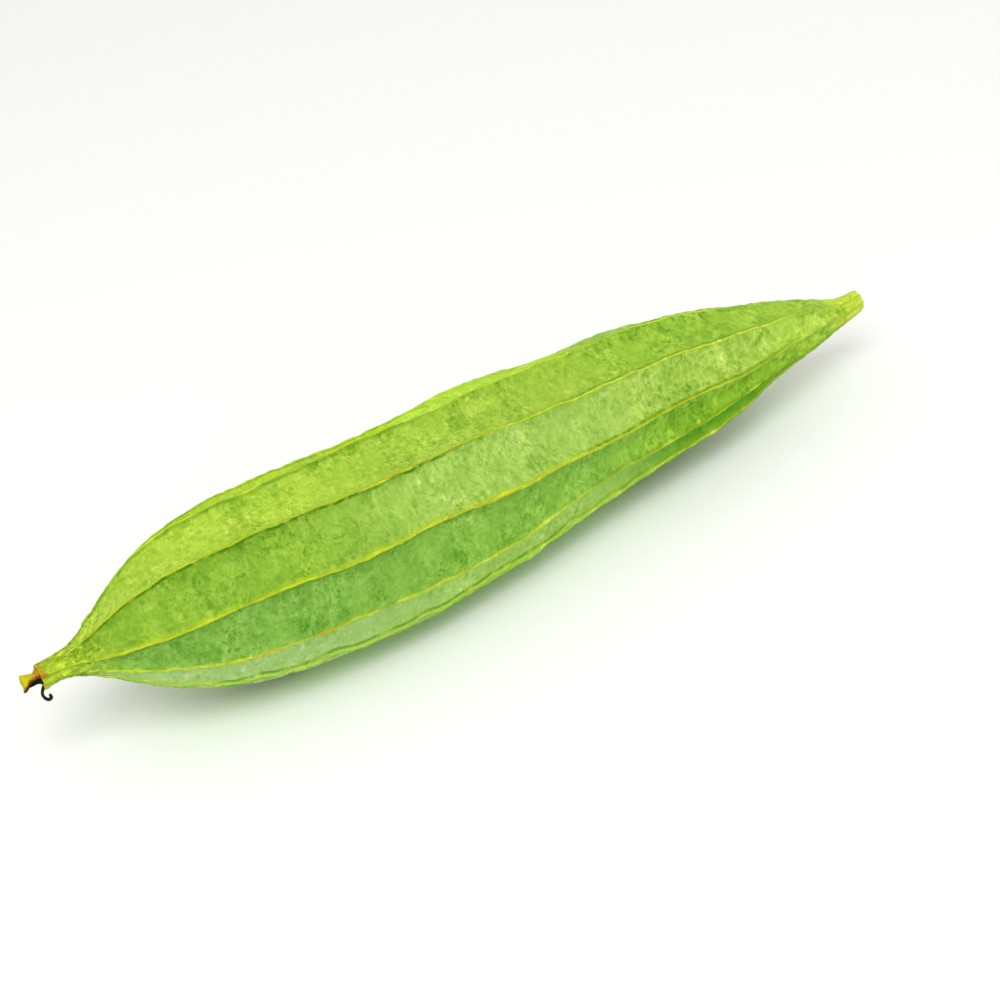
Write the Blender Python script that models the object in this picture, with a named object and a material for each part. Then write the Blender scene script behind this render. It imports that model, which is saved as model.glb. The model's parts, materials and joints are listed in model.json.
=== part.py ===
"""Ridge gourd (angled luffa), lying on its side on a flat surface.

X runs along the fruit, from the withered flower at -X to the cut stalk at +X. Z is up, and the surface is Z = 0.
The origin is on that surface, under the middle of the gourd's bounding box.
"""

import math

import bmesh
import bpy
from mathutils import Vector

MM = 0.001

# Driving dimensions. A station is a distance along the gourd, measured from the flower end.
LENGTH = 280 * MM
FRUIT_START = 5.0 * MM
FRUIT_END = 268.0 * MM
GAP = 0.3 * MM

# Radius at the ridge crests, as (station, radius): a fluted neck, a stout body and a long taper to the stalk.
CREST_RADIUS = [
    (5.0 * MM, 3.3 * MM),
    (8.0 * MM, 3.5 * MM),
    (12.0 * MM, 4.1 * MM),
    (18.0 * MM, 6.4 * MM),
    (25.0 * MM, 10.5 * MM),
    (38.0 * MM, 18.9 * MM),
    (55.0 * MM, 25.3 * MM),
    (77.0 * MM, 27.8 * MM),
    (105.0 * MM, 28.0 * MM),
    (139.0 * MM, 26.9 * MM),
    (173.0 * MM, 24.0 * MM),
    (206.0 * MM, 20.5 * MM),
    (234.0 * MM, 14.8 * MM),
    (256.0 * MM, 9.0 * MM),
    (263.0 * MM, 6.7 * MM),
    (270.0 * MM, 4.5 * MM),
    (276.0 * MM, 3.6 * MM),
    (280.0 * MM, 3.3 * MM),
]

# How far the crests stand above the panels between them, as (station, height).
RIDGE_HEIGHT = [
    (5.0 * MM, 0.3 * MM),
    (26.0 * MM, 0.9 * MM),
    (60.0 * MM, 1.6 * MM),
    (200.0 * MM, 1.4 * MM),
    (257.0 * MM, 0.6 * MM),
    (280.0 * MM, 0.2 * MM),
]

# Sideways bow of the centre line, as (station, Y): the fruit grew slightly curved.
SIDE_BOW = [
    (0.0 * MM, -1.2 * MM),
    (40.0 * MM, -2.6 * MM),
    (84.0 * MM, -5.3 * MM),
    (112.0 * MM, -5.2 * MM),
    (174.0 * MM, -0.2 * MM),
    (205.0 * MM, 1.0 * MM),
    (240.0 * MM, 0.7 * MM),
    (262.0 * MM, -0.6 * MM),
    (280.0 * MM, -1.6 * MM),
]

# Each ridge as (angle, turn, flare) in degrees. The angle is measured from -Y upwards at mid-length, the turn is how
# far the ridge winds from the flower end to the stalk, and the flare is how far both its ends lie past the angle.
RIDGES = [
    (103, 0, 4),
    (58, -12, 4),
    (22, -10, -3),
    (-11, -2, -9),
    (-42, 4, -2),
    (-72, -3, 3),
    (-108, 4, -3),
    (-144, -4, 2),
    (-181, 5, -2),
    (-218, -3, 3),
]

FOOT_WIDTH = 2.2 * MM  # crest to the foot of the ridge, along the skin
FOOT_SHARE = 0.28  # the most of a panel's width that a foot may take, where the gourd is thin
PANEL_DIP = 0.04  # how far the mid-panel lies inside the straight line between its feet, as a share of the radius

# The gourd rests on its two lowest ridges, whose crests are pressed flat where they bear.
REST_STATION = 128 * MM  # under the centre of mass
REST_SLOPE = -0.032  # how the centre line falls towards the stalk
CENTRE_HEIGHT = 25.65 * MM  # of the centre line above the surface, at REST_STATION

NECK_STEP = 3.5 * MM  # ring spacing in the neck and in the stalk
BODY_STEP = 8.5 * MM  # ring spacing in the body
BODY_START = 33 * MM

# Withered flower base: a waisted stub with a cupped end, as (station, radius).
REMNANT = [
    (4.7 * MM, 2.1 * MM),
    (3.6 * MM, 1.8 * MM),
    (2.2 * MM, 1.85 * MM),
    (0.9 * MM, 2.2 * MM),
    (0.2 * MM, 2.4 * MM),
    (0.0 * MM, 2.1 * MM),
    (0.1 * MM, 1.6 * MM),
    (0.9 * MM, 1.0 * MM),
]
REMNANT_SIDES = 20

# Dried thread of the flower's style: it hangs from the rim of the neck and curls up at its end.
THREAD_RADIUS = 0.3 * MM
THREAD_START = (5.4 * MM, 3.9 * MM)  # station, and distance below the centre line
HOOK_CENTRE = (6.4 * MM, 6.5 * MM)
HOOK_RADIUS = 1.1 * MM
HOOK_ENDS = (180, 385)  # degrees
HOOK_POINTS = 12

GREEN = (0.34, 0.58, 0.07, 1)
STALK_GREEN = (0.55, 0.68, 0.06, 1)
WITHERED_BROWN = (0.45, 0.32, 0.04, 1)
DRIED_BLACK = (0.03, 0.025, 0.01, 1)


def clear_scene():
    for thing in list(bpy.data.objects):
        bpy.data.objects.remove(thing, do_unlink=True)


def slopes(points):
    """Slope of a smooth curve at each point: the harmonic mean of its two sides, or level at a peak."""
    sides = [(y1 - y0) / (x1 - x0) for (x0, y0), (x1, y1) in zip(points, points[1:])]
    inner = [2 * a * b / (a + b) if a * b > 0 else 0.0 for a, b in zip(sides, sides[1:])]
    return [sides[0], *inner, sides[-1]]


def smooth(points, at):
    """Height of the smooth curve through the points, which doesn't overshoot them."""
    slope = slopes(points)
    last = len(points) - 2
    i = min(sum(at >= x for x, _ in points[1:]), last)
    (x0, y0), (x1, y1) = points[i], points[i + 1]
    span = x1 - x0
    t = (at - x0) / span
    return (
        y0 * (1 + 2 * t) * (1 - t) ** 2
        + span * slope[i] * t * (1 - t) ** 2
        + y1 * t * t * (3 - 2 * t)
        + span * slope[i + 1] * t * t * (t - 1)
    )


def centre(station):
    """The centre line's Y and Z at a station."""
    return smooth(SIDE_BOW, station), CENTRE_HEIGHT + REST_SLOPE * (station - REST_STATION)


def ridge_angles(station):
    """Angles of the ten crests at a station, in radians and in order round the gourd."""
    along = station / LENGTH - 0.5
    return [math.radians(angle + turn * along + flare * (2 * along) ** 2) for angle, turn, flare in RIDGES]


def on_section(station, angle, radius):
    y, z = centre(station)
    return (station - LENGTH / 2, y - radius * math.cos(angle), z + radius * math.sin(angle))


def section(station):
    """Points round the gourd at a station: for each ridge its crest, its foot, the mid-panel and the next foot."""
    crest = smooth(CREST_RADIUS, station)
    panel = crest - smooth(RIDGE_HEIGHT, station)
    angles = ridge_angles(station)
    points = []
    for here, following in zip(angles, angles[1:] + [angles[0] - math.tau]):
        pitch = here - following
        foot = min(FOOT_WIDTH / crest, FOOT_SHARE * pitch)
        middle = panel * (math.cos(pitch / 2 - foot) - PANEL_DIP)
        points.append(on_section(station, here, crest))
        points.append(on_section(station, here - foot, panel))
        points.append(on_section(station, here - pitch / 2, middle))
        points.append(on_section(station, following + foot, panel))
    return points


def round_section(station, radius):
    turn = math.tau / REMNANT_SIDES
    return [on_section(station, turn * i, radius) for i in range(REMNANT_SIDES)]


def loft(sections):
    """A closed skin through the sections, with a flat cap at each end."""
    bm = bmesh.new()
    rings = [[bm.verts.new(point) for point in points] for points in sections]
    for ring, following in zip(rings, rings[1:]):
        for i, vert in enumerate(ring):
            bm.faces.new((ring[i - 1], vert, following[i], following[i - 1]))
    bm.faces.new(rings[0])
    bm.faces.new(rings[-1])
    bmesh.ops.recalc_face_normals(bm, faces=bm.faces)
    return bm


def press_flat(bm):
    """Trims what lies below the surface and closes the cuts with flat faces."""
    geometry = bm.verts[:] + bm.edges[:] + bm.faces[:]
    bmesh.ops.bisect_plane(bm, geom=geometry, plane_co=(0, 0, 0), plane_no=(0, 0, 1), clear_inner=True)
    rims = [edge for edge in bm.edges if edge.is_boundary]
    bmesh.ops.holes_fill(bm, edges=rims, sides=0)
    bmesh.ops.recalc_face_normals(bm, faces=bm.faces)


def material(name, colour, roughness):
    made = bpy.data.materials.new(name)
    made.use_nodes = True
    shader = made.node_tree.nodes["Principled BSDF"]
    shader.inputs["Base Color"].default_value = colour
    shader.inputs["Roughness"].default_value = roughness
    shader.inputs["Metallic"].default_value = 0.0
    return made


def add_object(name, data, finish):
    made = bpy.data.objects.new(name, data)
    data.materials.append(finish)
    bpy.context.scene.collection.objects.link(made)
    return made


def add_mesh(name, bm, finish):
    mesh = bpy.data.meshes.new(name)
    bm.to_mesh(mesh)
    bm.free()
    mesh.shade_smooth()
    mesh.set_sharp_from_angle(angle=math.radians(40))
    return add_object(name, mesh, finish)


def steps(start, end, step):
    """Evenly spaced stations from start to end, both included, about a step apart."""
    count = max(1, round((end - start) / step))
    return [start + (end - start) * i / count for i in range(count + 1)]


def make_fruit():
    stations = steps(FRUIT_START, BODY_START, NECK_STEP)[:-1] + steps(BODY_START, FRUIT_END, BODY_STEP)
    bm = loft([section(station) for station in stations])
    press_flat(bm)
    return add_mesh("fruit", bm, material("skin_green", GREEN, 0.55))


def make_stalk():
    stations = steps(FRUIT_END + GAP, LENGTH, NECK_STEP)
    bm = loft([section(station) for station in stations])
    return add_mesh("cut_stalk", bm, material("stalk_green", STALK_GREEN, 0.5))


def make_remnant():
    bm = loft([round_section(station, radius) for station, radius in REMNANT])
    return add_mesh("flower_remnant", bm, material("withered_brown", WITHERED_BROWN, 0.75))


def thread_path():
    """The thread's points as (station, distance below the centre line)."""
    start, end = (math.radians(angle) for angle in HOOK_ENDS)
    points = [THREAD_START]
    for i in range(HOOK_POINTS):
        angle = start + (end - start) * i / (HOOK_POINTS - 1)
        station = HOOK_CENTRE[0] + HOOK_RADIUS * math.cos(angle)
        points.append((station, HOOK_CENTRE[1] - HOOK_RADIUS * math.sin(angle)))
    return points


def make_thread():
    curve = bpy.data.curves.new("dried_style", "CURVE")
    curve.dimensions = "3D"
    curve.bevel_depth = THREAD_RADIUS
    curve.bevel_resolution = 2
    curve.use_fill_caps = True
    spline = curve.splines.new("POLY")
    path = thread_path()
    spline.points.add(len(path) - 1)
    y, z = centre(HOOK_CENTRE[0])
    for point, (station, below) in zip(spline.points, path):
        point.co = (station - LENGTH / 2, y, z - below, 1)
    return add_object("dried_style", curve, material("dried_black", DRIED_BLACK, 0.8))


def centre_over_origin(pieces):
    """Hangs the pieces on one empty, moved so that the origin is under the middle of their box."""
    bpy.context.view_layer.update()
    corners = [piece.matrix_world @ Vector(corner) for piece in pieces for corner in piece.bound_box]
    gourd = bpy.data.objects.new("ridge_gourd", None)
    bpy.context.scene.collection.objects.link(gourd)
    for piece in pieces:
        piece.parent = gourd
    for axis in (0, 1):
        side = [corner[axis] for corner in corners]
        gourd.location[axis] = -(min(side) + max(side)) / 2


clear_scene()
centre_over_origin([make_fruit(), make_stalk(), make_remnant(), make_thread()])
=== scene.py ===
# %% [markdown]
# # Ridge gourd
# A ridge gourd, or angled luffa, is a long green fruit with ten raised ridges along it. It is one grown
# piece. Its stalk was cut short at one end, and at the other a stub of the withered flower still holds the
# dried thread of the style. This lesson starts from plain measured solids of these four things and models
# each one again over them, with the waves, wrinkles and colours that a grown thing has.

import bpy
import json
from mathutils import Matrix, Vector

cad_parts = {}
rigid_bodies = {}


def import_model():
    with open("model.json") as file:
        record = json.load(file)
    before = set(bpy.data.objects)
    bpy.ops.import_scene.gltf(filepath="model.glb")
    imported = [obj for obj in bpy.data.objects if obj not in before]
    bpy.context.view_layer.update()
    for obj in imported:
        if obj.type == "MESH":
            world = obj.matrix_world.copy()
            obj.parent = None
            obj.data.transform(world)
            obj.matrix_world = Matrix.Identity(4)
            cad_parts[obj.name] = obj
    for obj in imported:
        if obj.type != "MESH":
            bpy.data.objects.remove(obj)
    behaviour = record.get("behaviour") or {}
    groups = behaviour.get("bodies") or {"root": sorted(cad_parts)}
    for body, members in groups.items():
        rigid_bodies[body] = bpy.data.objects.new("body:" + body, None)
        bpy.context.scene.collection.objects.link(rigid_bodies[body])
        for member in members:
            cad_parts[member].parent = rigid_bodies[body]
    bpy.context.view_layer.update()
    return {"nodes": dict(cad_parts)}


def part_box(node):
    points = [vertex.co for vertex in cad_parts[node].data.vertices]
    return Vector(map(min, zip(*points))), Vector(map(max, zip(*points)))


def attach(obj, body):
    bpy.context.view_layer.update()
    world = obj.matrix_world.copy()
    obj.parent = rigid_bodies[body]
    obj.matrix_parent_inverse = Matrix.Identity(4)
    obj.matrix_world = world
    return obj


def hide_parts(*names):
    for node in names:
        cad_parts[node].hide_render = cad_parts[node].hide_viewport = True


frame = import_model()
print("measured solids:", ", ".join(sorted(frame["nodes"])))

# %% [markdown]
# ## Tools for the whole lesson
# The scene is in metres and a gourd is measured in millimetres, so one number turns one into the other. An
# operator acts on all that is selected, so every step first leaves edit mode with nothing selected.

# %% Units and a clean start
import json
import math
from functools import partial

import bmesh
import bpy
from mathutils import Quaternion, Vector

MM = 0.001


def start_fresh():
    """Leaves edit mode and deselects everything."""
    if bpy.context.mode != "OBJECT":
        bpy.ops.object.mode_set(mode="OBJECT")
    bpy.ops.object.select_all(action="DESELECT")


start_fresh()
print("one millimetre is", MM, "m here")

# %% [markdown]
# ## Camera
# The gourd is seen from its flower end and from above, through a long lens that hardly spreads it, and the
# camera is tipped so that the gourd climbs to the right. The camera's turn, rise and roll are named, so
# that each can be changed alone. Blender's camera looks along its own -Z, which to_track_quat points the
# right way before the roll is added.

# %% Place the camera
CAMERA_PLACE = Vector((-241.9, -529.9, 425.8)) * MM
VIEW_TURN = math.radians(-25.05)
VIEW_RISE = math.radians(35.03)
VIEW_ROLL = math.radians(-11.43)
LENS = 90

level = math.cos(VIEW_RISE)
looking = Vector((-math.sin(VIEW_TURN) * level, math.cos(VIEW_TURN) * level, -math.sin(VIEW_RISE)))
pose = looking.to_track_quat("-Z", "Y") @ Quaternion((0, 0, 1), VIEW_ROLL)
bpy.ops.object.camera_add(location=CAMERA_PLACE, rotation=pose.to_euler())
camera = bpy.context.object
camera.name = "table_camera"
camera.data.lens = LENS
camera.data.clip_start = 10 * MM
bpy.context.scene.camera = camera
print("camera", round(CAMERA_PLACE.length / MM), "mm from the middle of the gourd's foot")

# %% [markdown]
# ## Table and light
# A white table under a bright even sky throws light up under the gourd, as in a light tent. One wide soft
# panel above and in front lights the upper panels most, drops the shadow behind the gourd, and is wide
# enough to keep it soft.

# %% Lay the table and hang the light
TABLE_SIDE = 6.0
LIGHT_PLACE = Vector((-0.3, -0.55, 1.1))
LIGHT_SIDE = 0.8
LIGHT_WATTS = 8.0
SKY_STRENGTH = 0.8

start_fresh()
bpy.ops.mesh.primitive_plane_add(size=TABLE_SIDE, location=(0, 0, 0))
table = bpy.context.object
table.name = "table"
towards_gourd = (-LIGHT_PLACE).to_track_quat("-Z", "Y")
bpy.ops.object.light_add(type="AREA", location=LIGHT_PLACE, rotation=towards_gourd.to_euler())
light = bpy.context.object
light.name = "top_panel"
light.data.size = LIGHT_SIDE
light.data.energy = LIGHT_WATTS

sky = bpy.data.worlds.new("light_tent")
bpy.context.scene.world = sky
sky.use_nodes = True
background = sky.node_tree.nodes["Background"]
background.inputs["Color"].default_value = (1, 1, 1, 1)
background.inputs["Strength"].default_value = SKY_STRENGTH
bpy.context.scene.view_settings.view_transform = "Standard"
print("table", TABLE_SIDE, "m wide, one panel and an even sky")

# %% [markdown]
# ## One helper for every material
# A material is a tree of nodes. This function adds one node of any kind, sets it, and fills its inputs in
# the order in which the node shows them, or by name. A second word after the kind is what a maths node
# works out, how a MapRange eases, or what a Mix mixes. What fills an input is a number, a colour as six hex
# digits, or another node to link from. The numbers of a MapRange are where it starts and ends, and what it
# gives at both.

# %% Add a shader node
SECOND_WORD = {  # what a kind's second word sets
    "Math": "operation",
    "VectorMath": "operation",
    "MapRange": "interpolation_type",
    "Mix": "data_type",
    "TexNoise": "noise_dimensions",
}


def hex_colour(code):
    """A colour written as six hex digits of sRGB, as linear red, green, blue and alpha."""
    channels = [int(code[i : i + 2], 16) / 255 for i in (0, 2, 4)]
    return [c / 12.92 if c <= 0.04045 else ((c + 0.055) / 1.055) ** 2.4 for c in channels] + [1.0]


def add_node(tree, kind, *values, named=None, stops=None, **settings):
    """Adds a node with its settings, the values or links of its inputs, and the stops of its colour ramp."""
    kind, *choice = kind.split()
    made = tree.nodes.new("ShaderNode" + kind)
    for word in choice:
        settings[SECOND_WORD[kind]] = word
    for name, setting in settings.items():
        setattr(made, name, setting)
    shown = [socket for socket in made.inputs if socket.enabled]
    filled = list(zip(shown, values))
    for name, value in (named or {}).items():
        filled.append((next(socket for socket in shown if socket.name == name), value))
    for socket, value in filled:
        if isinstance(value, bpy.types.Node):
            value = next(output for output in value.outputs if output.enabled)
        if isinstance(value, bpy.types.NodeSocket):
            tree.links.new(value, socket)
        else:
            socket.default_value = hex_colour(value) if isinstance(value, str) else value
    if stops:
        ramp = made.color_ramp
        while len(ramp.elements) < len(stops):
            ramp.elements.new(1.0)
        for element, (place, value) in zip(ramp.elements, stops):
            element.position = place
            element.color = hex_colour(value) if isinstance(value, str) else (value, value, value, 1)
    return made


def new_material(name):
    """An empty material, and the helper that adds nodes to its tree."""
    made = bpy.data.materials.new(name)
    made.use_nodes = True
    made.node_tree.nodes.clear()
    return made, partial(add_node, made.node_tree)


def put_on(piece, material, shader):
    """Closes a material's tree with its shader and gives the material to a piece."""
    add_node(material.node_tree, "OutputMaterial", shader)
    piece.data.materials.clear()
    piece.data.materials.append(material)
    print(piece.name, "is finished in", material.name, "of", len(material.node_tree.nodes), "nodes")


print("middle grey is", round(hex_colour("808080")[0], 3), "in linear light")

# %% [markdown]
# The table is matt white card. Its fibres are finer than the eye sees from here, so the grain in its
# roughness is drawn coarser than life, three millimetres across.

# %% Matt card for the table
FIBRE = 3 * MM

card, add = new_material("matt_white_card")
place = add("TexCoord").outputs["Object"]
fibre = add("TexNoise", place, 1 / FIBRE, 2.0)
rough = add("MapRange", fibre, 0.3, 0.7, 0.75, 0.9)
matt = {"Base Color": "F4F4F2", "Roughness": rough, "Specular IOR Level": 0.1}
put_on(table, card, add("BsdfPrincipled", named=matt))

# %% [markdown]
# ## The gourd's measures
# All of them are in millimetres. A station is a distance along the gourd from the flower end. The lists
# give, by station, the radius at the ridge crests, how high the crests stand over the panels between them,
# the sideways bow that the fruit grew with, and how far the stalk droops and lifts its tip. A smooth curve
# through each list gives the value anywhere between. Its slope at a point is the harmonic mean of the
# slopes on both sides, or level at a peak, so the curve never overshoots.

# %% Measures along the gourd
LENGTH = 280
FRUIT_START = 5
FRUIT_END = 268

CREST_RADIUS = [(5, 3.3), (8, 3.5), (12, 3.7), (18, 5.9), (25, 10.5), (38, 18.9), (55, 25.3), (77, 27.8)]
CREST_RADIUS += [(105, 28), (139, 26.9), (173, 24), (206, 20.5), (234, 14.8), (256, 9), (263, 6.7)]
CREST_RADIUS += [(270, 4.5), (276, 3.6), (280, 3.3)]
RIDGE_HEIGHT = [(5, 0.3), (26, 0.9), (60, 1.6), (200, 1.4), (257, 0.6), (280, 0.2)]
SIDE_BOW = [(0, -1.2), (40, -2.6), (84, -5.3), (112, -5.2), (174, -0.2), (205, 1), (240, 0.7)]
SIDE_BOW += [(262, -0.6), (280, -1.6)]
STALK_DROOP = [(0, 0), (250, 0), (264, -0.6), (268, -1), (274, -0.7), (277.6, 0.25), (280, 0.25)]


def slopes(points):
    """Slope of the smooth curve at each of its points."""
    sides = [(y1 - y0) / (x1 - x0) for (x0, y0), (x1, y1) in zip(points, points[1:])]
    inner = [2 * a * b / (a + b) if a * b > 0 else 0.0 for a, b in zip(sides, sides[1:])]
    return [sides[0], *inner, sides[-1]]


def smooth(points, at):
    """Height of the smooth curve through the points at a station."""
    slope = slopes(points)
    i = min(sum(at >= x for x, _ in points[1:]), len(points) - 2)
    (x0, y0), (x1, y1) = points[i], points[i + 1]
    span = x1 - x0
    t = (at - x0) / span
    rise = y0 * (1 + 2 * t) * (1 - t) ** 2 + y1 * t * t * (3 - 2 * t)
    return rise + span * (slope[i] * t * (1 - t) ** 2 + slope[i + 1] * t * t * (t - 1))


print("crest radius at mid-length", round(smooth(CREST_RADIUS, LENGTH / 2), 1), "mm")

# %% [markdown]
# ## The ten ridges
# Each ridge has an angle, measured from the front (-Y) upwards at mid-length, a turn, which is how far it
# winds from the flower end to the stalk, and a flare, which is how far both its ends lie past the angle.
# The list starts at one of the two ridges that the gourd rests on and goes up its back, over the top and
# down its front. Forty points lie round the gourd, four for each ridge: its crest, the foot of the crest,
# the middle of the panel and the foot of the next. A crest leans over the panel on one side: down over it
# towards the flower end, and the other way towards the stalk, which is what draws a thin dark line beside
# each ridge.

# %% Points round the gourd
RIDGES = [  # angle, turn and flare, in degrees
    (-108, 4, -3),
    (-144, -4, 2),
    (-181, 5, -2),
    (-218, -3, 3),
    (103, 0, 4),
    (58, -12, 4),
    (22, -10, -3),
    (-11, -2, -9),
    (-42, 4, -2),
    (-72, -3, 3),
]
PER_RIDGE = 4
SIDES = PER_RIDGE * len(RIDGES)
FOOT_WIDTH = 2.2  # crest to foot, along the skin
FOOT_SHARE = 0.28  # the most of a panel's width that a foot may take, where the gourd is thin
PANEL_DIP = 0.04  # how far the mid-panel lies inside the line between its feet, as a share of the radius
LEAN = [(0, 0), (30, 1), (125, 1), (165, -0.7), (240, -0.7), (262, 0), (280, 0)]
LEAN_WIDTH = 0.35  # share of a foot's width that the leaning side gives up
LEAN_DEPTH = 0.35  # how much deeper the foot on the leaning side lies

# %% [markdown]
# No ridge runs true. The first table is how many degrees a ridge wanders up from its even winding, and the
# second how many millimetres it swells beyond the even crest radius, both by station. The ridges are
# numbered as above, from 0.

# %% Wander and swell
STEADY = [(0, 0), (280, 0)]
WANDER = {
    4: [(5, 8), (30, 12), (41, 11), (50, 4), (58, -2), (66, -4.5), (80, -6.3), (98, -7.2), (110, -5.5)]
    + [(120, -6), (131, -9.5), (146, -7), (160, -6.5), (178, -7.5), (195, -5), (230, 0), (280, 0)],
    5: [(5, 4), (22, 5), (38, 4.3), (48, 2.3), (58, 1), (70, 1.5), (98, 0.8), (112, 1.2), (130, 2.2)]
    + [(142, 2), (152, -0.5), (170, -1.5), (188, -2), (205, -1.5), (222, -2), (240, -1.5), (262, 2)]
    + [(280, 2)],
    6: [(5, -4), (22, -8), (30, -6), (38, -3), (48, -0.3), (56, 2.8), (66, 3.2), (80, 2.3), (98, 0.4)]
    + [(108, 2.2), (118, 2.8), (130, 0.6), (141, -1.5), (152, -1), (175, -3.5), (188, -3), (203, -1.8)]
    + [(211, -2.4), (221, -6), (232, -7.5), (243, -6), (254, -2), (262, 1), (280, 0)],
    7: [(5, 0), (20, -2), (33, 3.5), (41, 2.5), (48, 2), (56, 3), (65, 4), (80, 3.7), (88, 3), (98, 0.5)]
    + [(105, -1), (115, -1), (123, -2.5), (134, -3), (143, -2), (152, 0), (171, 3), (185, 3), (200, 1)]
    + [(230, 2), (280, 0)],
    8: [(5, 0), (35, 3), (50, 5), (60, 6), (150, 6), (165, 8), (190, 9), (230, 9), (262, 4), (280, 0)],
}
SWELL = {
    3: [(5, 0), (40, 0), (55, 0.2), (68, 1), (90, 0.5), (113, -0.4), (126, -0.5), (134, 0.4), (151, 1.3)]
    + [(163, 0.7), (177, -0.2), (187, -0.2), (198, 1.4), (215, 0.9), (240, 0), (280, 0)],
    4: [(5, 0), (190, 0), (212, 0.6), (225, 0.4), (240, -0.2), (262, 0), (280, 0)],
    7: [(5, 0.6), (9, 0), (280, 0)],
    8: [(5, 1.3), (7, 0.3), (10, 0), (40, 0.4), (80, 0.6), (103, 1.6), (125, 0.8), (200, 0.6), (222, 1.4)]
    + [(237, -0.3), (262, 0), (280, 0)],
}


def wheel(station):
    """Angle and radius, in metres, of the forty points at a station, in the order of their labels."""
    even = smooth(CREST_RADIUS, station)
    panel = even - smooth(RIDGE_HEIGHT, station)
    lean = smooth(LEAN, station)
    under, over = max(lean, 0), max(-lean, 0)
    along = station / LENGTH - 0.5
    angles = []
    swells = []
    for number, (angle, turn, flare) in enumerate(RIDGES):
        wander = smooth(WANDER.get(number, STEADY), station)
        angles.append(math.radians(angle + turn * along + flare * (2 * along) ** 2 + wander))
        swells.append(smooth(SWELL.get(number, STEADY), station))
    points = []
    for i, (here, swell) in enumerate(zip(angles, swells)):
        following, next_swell = angles[i + 1 - len(RIDGES)], swells[i + 1 - len(RIDGES)]
        pitch = (here - following) % math.tau
        foot = min(FOOT_WIDTH / even, FOOT_SHARE * pitch)
        middle = (panel + (swell + next_swell) / 2) * (math.cos(pitch / 2 - foot) - PANEL_DIP)
        next_depth = panel + next_swell - LEAN_DEPTH * over
        points.append((here, (even + swell) * MM))
        points.append((here - foot * (1 - LEAN_WIDTH * under), (panel + swell - LEAN_DEPTH * under) * MM))
        points.append((here - pitch / 2, middle * MM))
        points.append((following + foot * (1 - LEAN_WIDTH * over), next_depth * MM))
    return points


crests = [round(math.degrees(angle)) for angle, _ in wheel(LENGTH / 2)[::PER_RIDGE]]
print("crests at mid-length:", crests, "degrees")

# %% [markdown]
# ## The line through the middle
# The gourd rests on two ridges under its heaviest part, and its middle line falls a little towards the
# stalk. The bow pushes the whole gourd off to one side, so everything is shifted back until its box stands
# over the origin.

# %% Middle line and ring stations
REST_STATION = 128
REST_SLOPE = -0.032
CENTRE_HEIGHT = 25.65
SIDE_SHIFT = 4.35


def centre(station, rise=0.0):
    """The middle of the gourd at a station, or a point this many millimetres above it."""
    height = CENTRE_HEIGHT + REST_SLOPE * (station - REST_STATION) + smooth(STALK_DROOP, station)
    return Vector((station - LENGTH / 2, smooth(SIDE_BOW, station) + SIDE_SHIFT, height + rise)) * MM


def steps(start, end, step):
    """Evenly spaced stations from start to end, both included, about a step apart."""
    count = max(1, round((end - start) / step))
    return [start + (end - start) * i / count for i in range(count + 1)]


NECK_STEP = 3.5
BODY_START = 33
BODY_STEP = 9
STALK_END = 277.6  # where the round-over of the cut begins
STALK_STEP = 2.4
RINGS = steps(FRUIT_START, BODY_START, NECK_STEP)[:-1] + steps(BODY_START, FRUIT_END, BODY_STEP)
STALK_RINGS = steps(FRUIT_END, STALK_END, STALK_STEP)[1:]
print(len(RINGS), "rings for the fruit and", len(STALK_RINGS), "for the stalk")

# %% [markdown]
# ## Ring by ring
# The body of the gourd is pulled out of one circle. The circle is extruded to the next station, and then
# each of its forty points is stretched and turned about the middle of the gourd to its own radius and
# angle. Each point carries a label, its number round the gourd, and its station. Extruding copies both, so
# that later steps can find a whole crest or a whole panel by its label.

# %% Work on rings in edit mode


def edit_mesh():
    """The points and faces of the piece in edit mode."""
    return bmesh.from_edit_mesh(bpy.context.edit_object.data)


def choose(test):
    """Selects the points in edit mode whose place, station and label pass the test, and no others."""
    bpy.ops.mesh.select_all(action="DESELECT")
    mesh = edit_mesh()
    station = mesh.verts.layers.float["station"]
    label = mesh.verts.layers.int["label"]
    for point in mesh.verts:
        point.select_set(test(point.co, point[station], point[label]))
    mesh.select_flush_mode()
    bmesh.update_edit_mesh(bpy.context.edit_object.data)


def start_ring(name, place, radius, sides):
    """A circle across the gourd's length at a place, in edit mode, with its points labelled from -Y down."""
    start_fresh()
    bpy.ops.mesh.primitive_circle_add(
        vertices=sides, radius=radius, location=place, rotation=(0, math.pi / 2, 0), fill_type="NOTHING"
    )
    piece = bpy.context.object
    piece.name = name
    bpy.ops.object.transform_apply(location=True, rotation=True, scale=True)
    bpy.ops.object.mode_set(mode="EDIT")
    mesh = edit_mesh()
    label = mesh.verts.layers.int.new("label")
    mesh.verts.layers.float.new("station")
    for point in mesh.verts:
        angle = math.atan2(point.co.z - place.z, place.y - point.co.y)
        point[label] = round(-angle / math.tau * sides) % sides
    bpy.ops.mesh.select_all(action="SELECT")
    return piece


def extrude(way):
    """Draws the selection out by a way."""
    bpy.ops.mesh.extrude_region_move(TRANSFORM_OT_translate={"value": way})


def stretch(share, middle):
    """Stretches the selection to a share of its size about a middle, across the gourd's length."""
    bpy.ops.transform.resize(value=(1, share, share), center_override=middle)


def selected_ring(mesh):
    """The selected points in the order of their labels."""
    label = mesh.verts.layers.int["label"]
    return sorted((point for point in mesh.verts if point.select), key=lambda point: point[label])


def mark_station(station):
    """Writes a station on the selected points."""
    mesh = edit_mesh()
    layer = mesh.verts.layers.float["station"]
    for point in selected_ring(mesh):
        point[layer] = station


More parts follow.
